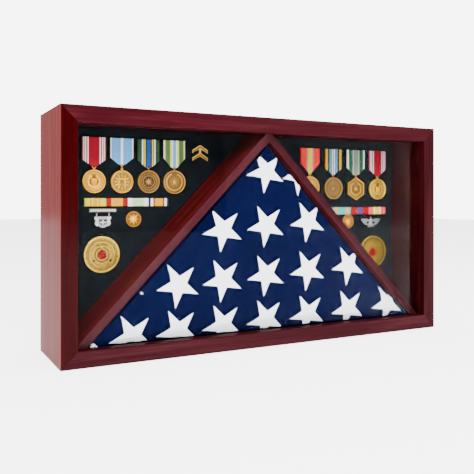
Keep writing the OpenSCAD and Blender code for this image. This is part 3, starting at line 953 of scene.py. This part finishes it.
def ribbon(i):
    """A silk ribbon folded over its brooch, its lower corners folded in towards the ring."""
    node = f"medal_{i}_ribbon"
    lo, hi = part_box(node)
    straight, tip, stripes = RIBBONS[i]
    x, half = (lo.x + hi.x) / 2, (hi.x - lo.x) / 2
    whole, mid = hi.z - lo.z, (lo.y + hi.y) / 2
    thick = 0.5 * MM
    puff = (hi.y - lo.y - thick) / 2

    def half_width(z):
        below = max(0, hi.z - straight * MM - z)
        share = below / (whole - straight * MM)
        return (half + (tip / 2 * MM - half) * min(share, 1)) - thick / 2

    path = []
    for k in range(33):                                  # up the back
        z = lo.z + 0.4 * MM + (whole - puff - 0.7 * MM) * k / 32
        path.append((puff * (0.4 + 0.6 * min(1, k / 10)), z, z))
    for k in range(1, 9):                                # over the brooch
        a = math.pi * k / 9
        z = hi.z - thick / 2 - puff
        path.append((puff * math.cos(a), z + puff * math.sin(a), z))
    for k in range(41):                                  # down the front
        z = hi.z - thick / 2 - puff - (whole - puff - 0.7 * MM) * k / 40
        path.append((-puff * (1 - 0.45 * smooth(k, 26, 40)), z, z))
    rows = []
    for y, z, level in path:
        w = half_width(level)
        across = np.linspace(-1, 1, 17)
        wave = 0.08 * MM * np.sin(across * 3 + level * 240) * (1 if y < 0 else -1)
        roll = 0.22 * MM * across ** 8 * (1 if y < 0 else -1)
        rows.append([(x + w * t, mid + y + wv + rl, z) for t, wv, rl in zip(across, wave, roll)])
    shape = Shape()
    shape.rows(rows, closed=False, caps=False)
    silk = ribbon_silk(f"silk_{i}", x, half, stripes)
    obj = thicken(shape.build(f"medal_{i}_ribbon_silk", silk, sharp=70), thick)
    fit_on(obj, CASE, "ribbon_silk", node)


def pendant(i, metal_used):
    """A struck medal with its neck and loop."""
    node = f"medal_{i}_pendant"
    lo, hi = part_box(node)
    x, mid = (lo.x + hi.x) / 2, (lo.y + hi.y) / 2
    hexagonal = i == 7
    r = (hi.x - lo.x) / 2 / (math.cos(math.pi / 6) if hexagonal else 1)
    z, loop_z = lo.z + r, hi.z - 2.2 * MM
    shape = Shape()
    outline = polygon(6, r) if hexagonal else circle(0, 0, r, 96)
    struck(shape, x, z, lo.y, hi.y, reach_of(outline), medal_face(FACES[i]), 0.95 * MM,
           turns=192 if hexagonal else 160)
    shape.lathe(x, mid, [(0.9 * MM, z + r - 0.6 * MM), (1.1 * MM, z + r),
                         (0.6 * MM, z + r + 0.5 * MM), (0.8 * MM, loop_z - 1.9 * MM),
                         (0.5 * MM, loop_z - 1.6 * MM)])
    shape.loop((x, mid, loop_z), 1.7 * MM, 0.5 * MM)
    if i == 2:
        ball = (z + r + loop_z - 1.7 * MM) / 2
        turn = np.linspace(-0.48 * np.pi, 0.48 * np.pi, 14)
        shape.lathe(x, mid, [(2.4 * MM * math.cos(a), ball + 2.4 * MM * math.sin(a)) for a in turn])
    obj = shape.build(f"medal_{i}_struck", metal_used)
    fit_on(obj, f"medal_{i}", "bronze_metal" if i in (3, 4, 6) else "gold_metal", node)


bright = metal("gold_bright", (0.16, 0.055, 0.002), (0.80, 0.38, 0.008), (0.22, 0.40))
# a brighter copy of the medal gold for the medal by the right wall: painted light
painted_bright_gold = metal("gold_painted_bright", (0.20, 0.07, 0.003), (1.0, 0.62, 0.03), (0.22, 0.40))
pale = metal("gold_pale", (0.10, 0.045, 0.005), (0.56, 0.29, 0.012), (0.25, 0.42))
antique = metal("bronze_antique", (0.012, 0.006, 0.002), (0.27, 0.135, 0.020), (0.28, 0.45))
warm = metal("bronze_warm", (0.035, 0.015, 0.003), (0.46, 0.235, 0.030), (0.26, 0.42))
struck_silver = metal("silver_struck", (0.008, 0.008, 0.009), (0.52, 0.52, 0.51), (0.22, 0.40))
red_enamel = enamel("red_enamel", (0.13, 0.0005, 0.002), (0.24, 0.001, 0.004))
black_enamel = enamel("black_enamel", (0.006, 0.006, 0.008), (0.022, 0.020, 0.022))

# medal 8 takes the brighter gold copy: painted light
METALS = {1: bright, 2: pale, 3: antique, 4: warm, 5: pale, 6: antique, 7: pale, 8: painted_bright_gold}
for number in range(1, 9):
    ribbon(number)
    pendant(number, METALS[number])


# ---------------------------------------------------------------- ribbon bars

# each unit's stripes from left to right, or from the middle out, and how many devices it bears
UNITS = {
    "left": [
        ([(-0.88, LIME), (-0.45, YELLOW), (-0.38, BROWN), (-0.16, YELLOW), (0.16, AMBER),
          (0.38, YELLOW), (0.45, BROWN), (0.86, YELLOW), (1.0, LIME)], 1),
        ([(0.50, AMBER), (0.56, (0.5, 0.2, 0.02)), (1.0, RED)], 1),
        ([(0.52, (0.40, 0.58, 0.28)), (0.66, (0.6, 0.7, 0.5)), (1.0, WHITE)], 0),
        ([(0.40, AMBER), (0.55, RED), (0.80, WHITE), (1.0, (0.02, 0.02, 0.05))], 0)],
    "right": [
        ([(0.45, (0.06, 0.38, 0.32)), (0.72, (0.70, 0.28, 0.08)), (1.0, (0.08, 0.42, 0.36))], 0),
        ([(0.22, (0.10, 0.035, 0.16)), (0.30, BLUE), (1.0, RED)], 2),
        ([(0.25, YELLOW), (0.42, CREAM), (1.0, (0.72, 0.07, 0.06))], 0)],
}


def ribbon_bar(side):
    """Short ribbons side by side, each wrapped round one metal bar."""
    node = f"{side}_ribbon_bar"
    lo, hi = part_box(node)
    units = UNITS[side]
    z, tall, thick = (lo.z + hi.z) / 2, hi.z - lo.z, 0.35 * MM
    pitch = (hi.x - lo.x + 0.3 * MM) / len(units)
    silks, cloth = [], Shape()
    core = Shape()
    core_half = tall / 2 - 1.1 * MM
    core_front = lo.y + 0.6 * MM
    core.rows([[(x, y, z + s) for y, s in ((core_front, -core_half), (core_front, core_half),
                                           (velvet, core_half), (velvet, -core_half))]
               for x in (lo.x + 0.3 * MM, hi.x - 0.3 * MM)])
    for k, (stripes, devices) in enumerate(units):
        x0, x1 = lo.x + k * pitch, lo.x + (k + 1) * pitch - 0.3 * MM
        silks.append(ribbon_silk(f"{side}_unit_{k + 1}", (x0 + x1) / 2, (x1 - x0) / 2, stripes))
        r = 0.5 * MM
        top, face, rear = tall / 2 - thick / 2, lo.y + thick / 2, velvet - 0.5 * MM
        path = [(rear, -core_half + 2.5 * MM), (rear, -top + r)]
        path += [(rear - r + r * math.cos(a), -top + r - r * math.sin(a)) for a in (0.5, 1.1, 1.57)]
        path += [(face + r - r * math.sin(a), -top + r - r * math.cos(a))
                 for a in (0, 0.5, 1.1, 1.57)]
        path += [(face - 0.05 * MM * math.cos(t * 1.5), t * (top - r))
                 for t in np.linspace(-0.8, 0.8, 7)]
        path += [(y, -s) for y, s in path[:9]][::-1]
        rows = [[(x, y, z + s) for y, s in path]
                for x in np.linspace(x0 + 0.1 * MM, x1 - 0.1 * MM, 12)]
        cloth.rows(rows, slot=k, closed=False, caps=False)
        for d in range(devices):
            at = (x0 + x1) / 2 + (d - (devices - 1) / 2) * 17 * MM
            core.plate([(at + px, z + pz) for px, pz in polygon(5, 2.6 * MM, waist=0.42)],
                       lo.y - 0.35 * MM, lo.y + 0.5 * MM, slot=1 if devices == 1 else 2)
        core.rod((lo.x + hi.x) / 2 + (k % 2 * 2 - 1) * (hi.x - lo.x) * 0.35, z, PIN_POST,
                 velvet - 0.2 * MM, post_end)
    bar = core.build(f"{side}_ribbon_bar_core", brass, bronze, silver)
    fit_on(bar, CASE, "ribbon_silk", node)
    silk = thicken(cloth.build(f"{side}_ribbon_bar_silk", *silks, sharp=80), thick)
    fit_on(silk, CASE, "ribbon_silk", node)


for side in ("left", "right"):
    ribbon_bar(side)


# ---------------------------------------------------------------- coins, pins and badges

def teardrop(x, z, tall, wide):
    """A drop with its point at the top."""
    turn = np.linspace(0, 2 * np.pi, 40, endpoint=False)
    return [(x + wide * math.sin(a) * math.sin(a / 2) ** 1.5, z + tall * math.cos(a)) for a in turn]


def arc(x, z, r0, r1, a0, a1):
    """Part of a ring, its angles in degrees from the top."""
    turn = np.radians(np.linspace(a0, a1, 14))
    return ([(x + r1 * math.sin(a), z + r1 * math.cos(a)) for a in turn]
            + [(x + r0 * math.sin(a), z + r0 * math.cos(a)) for a in turn[::-1]])


def coin(side):
    node = f"{side}_coin"
    lo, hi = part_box(node)
    x, z, r = (lo.x + hi.x) / 2, (lo.z + hi.z) / 2, (hi.x - lo.x) / 2

    def left_face(q, a):
        border = (0.5, beads(q, a, 0.86, 0.035, 48)), (0.42, beads(q, a, 0.78, 0.03, 40))
        px, pz = q * np.sin(a), q * np.cos(a) - 0.42
        return rimmed(q, *border, (0.85, band(q, 0.685, 0.03)),
                      (0.5, wreath(q, a, 0.56, 0.1, 20, 0.5)),
                      (0.45, smooth(-q, -0.62, -0.58) * (0.5 + 0.5 * np.cos(q * 40))),
                      (0.9, faceted_star(np.hypot(px, pz), np.arctan2(px, pz), 0.15)))

    def right_face(q, a):
        hammered = 0.36 + 0.34 * np.sin(q * 38 + a * 7) * np.sin(a * 23)
        return rimmed(q, (0.9, band(q, 0.755, 0.03)), (hammered, smooth(-q, -0.72, -0.70)),
                      (0.8, rays(q, a, 0.3, 0.70, 20)))

    shape = Shape()
    depth = 0.5 * MM
    struck(shape, x, z, lo.y, hi.y, reach_of(circle(0, 0, r, 96)),
           left_face if side == "left" else right_face, depth)
    face, deep = lo.y + 0.08 * MM, lo.y + depth + 0.2 * MM
    if side == "left":
        shape.plate(teardrop(x, z + 1 * MM, 8.5 * MM, 10.5 * MM), face, deep, 1)
        for s in (-1, 1):
            shape.plate(arc(x, z, 0.50 * r, 0.62 * r, s * 118, s * 134), face, deep, 2)
            shape.plate(arc(x, z, 0.60 * r, 0.66 * r, s * 146, s * 156), face, deep, 2)
    else:
        shape.plate(teardrop(x - 2 * MM, z + 0.5 * MM, 9 * MM, 12 * MM), face, deep, 1)
        foot = [(x - 2 * MM + px, z - 8 * MM + pz) for px, pz in polygon(3, 3.4 * MM)]
        shape.plate(foot, face, deep, 1)
        for a in (-52, 8, 66, 124, 182, 240):
            shape.plate(arc(x, z, 0.80 * r, 0.895 * r, a - 19, a + 19), face, deep, 2)
    obj = shape.build(f"{side}_coin_struck", coin_gold, red_enamel, black_enamel)
    fit_on(obj, CASE, "gold_metal", node)


coin_gold = metal("coin_gold", (0.055, 0.032, 0.004), (0.56, 0.33, 0.015), (0.20, 0.36))
for side in ("left", "right"):
    coin(side)


def emblem_pins():
    """Two gilt pins: an eight-pointed star on a beaded disc."""
    lo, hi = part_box("emblem_pins")
    r = 13 * MM
    shape = Shape()

    def relief(q, a):
        lift = np.maximum(0.04 + 0 * q, 0.6 * beads(q, a, 0.92, 0.06, 28))
        lift = np.maximum(lift, faceted_star(q, a, 0.86, 8, 0.5) ** 0.8)
        return np.maximum(lift, 0.97 * band(q, 0, 0.2) ** 0.5 * (q < 0.2))

    for x, z in ((lo.x + r, hi.z - r), (hi.x - r, lo.z + r)):
        struck(shape, x, z, lo.y, velvet, reach_of(circle(0, 0, r, 64)), relief, 1.3 * MM, 30, 128)
        shape.rod(x, z, PIN_POST, velvet - 0.3 * MM, post_end)
    fit_on(shape.build("emblem_pins_struck", bright), CASE, "gold_metal", "emblem_pins")


def wing_badge():
    """A silver badge: two feathered wings on a disc, with a star over them."""
    lo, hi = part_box("wing_badge")
    x, z = (lo.x + hi.x) / 2, hi.z - 13 * MM
    half = (hi.x - lo.x) / 2 / MM
    wing = [(0, 5), (12, 9), (half, 8), (half - 4, 2), (half - 10, -3), (0, -6)]
    both = [[(s * px * MM, pz * MM) for px, pz in wing] for s in (-1, 1)]
    disc, star = circle(0, 0, 8 * MM), polygon(5, 13 * MM, waist=0.46)

    reach = reach_of(*both, disc, star)

    def relief(q, a):
        r = q * reach(np.pi / 2 - a[0])
        px, pz = r * np.sin(a) / MM, r * np.cos(a) / MM
        feather = 0.55 + 0.35 * np.cos((pz - 0.18 * np.abs(px)) * 2.6)
        spread = smooth(np.abs(px), 8, 9.5)
        hollow = smooth(np.hypot((np.abs(px) - 7) / 3.4, (pz - 0.5) / 3.0), 0.75, 1.0)
        lift = (0.55 + spread * (feather - 0.55)) * hollow * smooth(-q, -1.0, -0.93)
        top = faceted_star(np.hypot(px, pz - 6.5) / 6, np.arctan2(px, pz - 6.5), 1.0, 5, 0.42)
        return np.maximum(lift, np.maximum(top, band(np.hypot(px, pz + 1), 0, 3.4)))

    shape = Shape()
    struck(shape, x, z, lo.y, velvet, reach, relief, 1.2 * MM, 40, 240)
    for s in (-1, 1):
        shape.rod(x + s * 9 * MM, z, PIN_POST, velvet - 0.3 * MM, post_end)
    fit_on(shape.build("wing_badge_struck", struck_silver), CASE, "silver_metal", "wing_badge")


def badge_pendant():
    """A silver wreath round a dark middle, on two links."""
    lo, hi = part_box("badge_pendant")
    x = (lo.x + hi.x) / 2
    link_z = hi.z - 2.25 * MM
    z = link_z - 1.8 * MM - 10.6 * MM
    y0, y1 = (lo.y + hi.y) / 2 - 1 * MM, (lo.y + hi.y) / 2 + 1 * MM
    arms = [(px * MM, pz * MM) for px, pz in ((-14, 4.4), (14, 4.4), (14, 9.6), (-14, 9.6))]
    reach = reach_of(circle(0, 0, 9.2 * MM), circle(-8 * MM, -1 * MM, 5.5 * MM),
                     circle(8 * MM, -1 * MM, 5.5 * MM), arms)

    def relief(q, a):
        r = q * reach(np.pi / 2 - a[0])
        px, pz = r * np.sin(a) / MM, r * np.cos(a) / MM
        leaf = 0.15 + 0.85 * np.abs(np.sin(a * 9 + q * 5))
        lift = leaf * smooth(q, 0.45, 0.56) * smooth(-q, -1.0, -0.9)
        cross = np.minimum(np.abs(px), np.abs(pz)) < 1.1
        return np.maximum(lift, 0.75 * cross * (q < 0.42) + 0.1)

    shape = Shape()
    struck(shape, x, z, y0, y1, reach, relief, 0.9 * MM, 34, 200)
    mid = (lo.y + hi.y) / 2
    for s in (-1, 1):
        shape.loop((x + s * 10 * MM, mid, link_z), 1.8 * MM, 0.45 * MM)
        neck = (0.8, 3.4), (0.7, 2.2), (0.5, 1.7)
        shape.lathe(x + s * 10 * MM, mid, [(r * MM, link_z - drop * MM) for r, drop in neck])
    fit_on(shape.build("badge_pendant_struck", struck_silver), "badge_pendant", "silver_metal",
           "badge_pendant")


def bar_and_chevron_trim():
    """Raised beads along the bar badge, and dark lines in the two chevrons."""
    lo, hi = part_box("badge_bar")
    z = hi.z - 3 * MM
    shape = Shape()
    for x in np.linspace(lo.x + 3 * MM, hi.x - 3 * MM, 11):
        turn = np.linspace(0, 2 * np.pi, 16, endpoint=False)
        rows = [[(x + r * MM * math.cos(a), lo.y + y * MM, z + r * MM * math.sin(a)) for a in turn]
                for r, y in ((1.9, 0.2), (1.75, -0.25), (1.2, -0.5), (0.4, -0.62))]
        shape.rows(rows, lift=0.8)
    fit_on(shape.build("badge_bar_beads", struck_silver, sharp=70), CASE, "silver_metal")
    lo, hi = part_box("chevron_pin")
    x, z = (lo.x + hi.x) / 2, (lo.z + hi.z) / 2
    trim = Shape()
    for k in (-1, 1):
        line = [(-12.8, -5.3), (-12.8, -3.1), (0, 5.2), (12.8, -3.1), (12.8, -5.3), (0, 2.9)]
        points = [(x + px * MM, z + (pz + 6.5 * k - 0.25) * MM) for px, pz in line]
        trim.plate(points, lo.y - 0.25 * MM, lo.y + 0.2 * MM)
    fit_on(trim.build("chevron_lines", black_enamel), CASE, "gold_metal")


emblem_pins()
wing_badge()
badge_pendant()
bar_and_chevron_trim()


# ---------------------------------------------------------------- stage and lights

FRONT_LIGHT, BACK_LIGHT, BACKDROP = 0.22, 1.6, 7.0


def light_world():
    """Bright white behind and around the case, and dimmer in front of it."""
    world = bpy.data.worlds.new("studio")
    bpy.context.scene.world = world
    world.use_nodes = True
    sky = Nodes(world.node_tree)
    around = sky.node("ShaderNodeTexCoord", out="Generated")
    depth = sky.node("ShaderNodeSeparateXYZ", {}, [around], 1)
    lit = sky.node("ShaderNodeMapRange", {"interpolation_type": "SMOOTHSTEP"},
                   [depth, -0.15, 0.45, FRONT_LIGHT, BACK_LIGHT])
    seen = sky.node("ShaderNodeLightPath", out="Is Camera Ray")
    sky.feed(world.node_tree.nodes["Background"],
             {0: (1, 1, 1, 1), 1: sky.node("ShaderNodeMix", {}, {0: seen, 2: lit, 3: BACKDROP})})


light_world()
add_light("key", (-1.0, -2.2, 1.7), (0, 0, 0.15), (1.6, 1.2), 150)
add_light("fill", (0.6, -2.6, 2.0), (0, 0, 0.15), (1.6, 1.0), 60)
add_light("top", (0.2, -0.2, 2.4), (0, 0, 0.2), (2.0, 1.4), 40)
add_light("right", (2.0, -2.3, 0.7), (0.1, 0, 0.2), (1.8, 1.4), 24)
add_camera()

floor_paint = Paint("floor", Roughness=0.9, Specular_IOR_Level=0.0,
                    Emission_Color=(1, 1, 1, 1), Emission_Strength=3.4)
floor_paint.colour(floor_paint.mix(floor_paint.noise(floor_paint.place(), 0.7), (0.93, 0.93, 0.93),
                                   (0.95, 0.95, 0.95)))
ground = Shape()
ground.add([(-6, -4, 0), (6, -4, 0), (6, 8, 0), (-6, 8, 0)], [(0, 1, 2, 3)])
ground.build("floor", floor_paint.material)
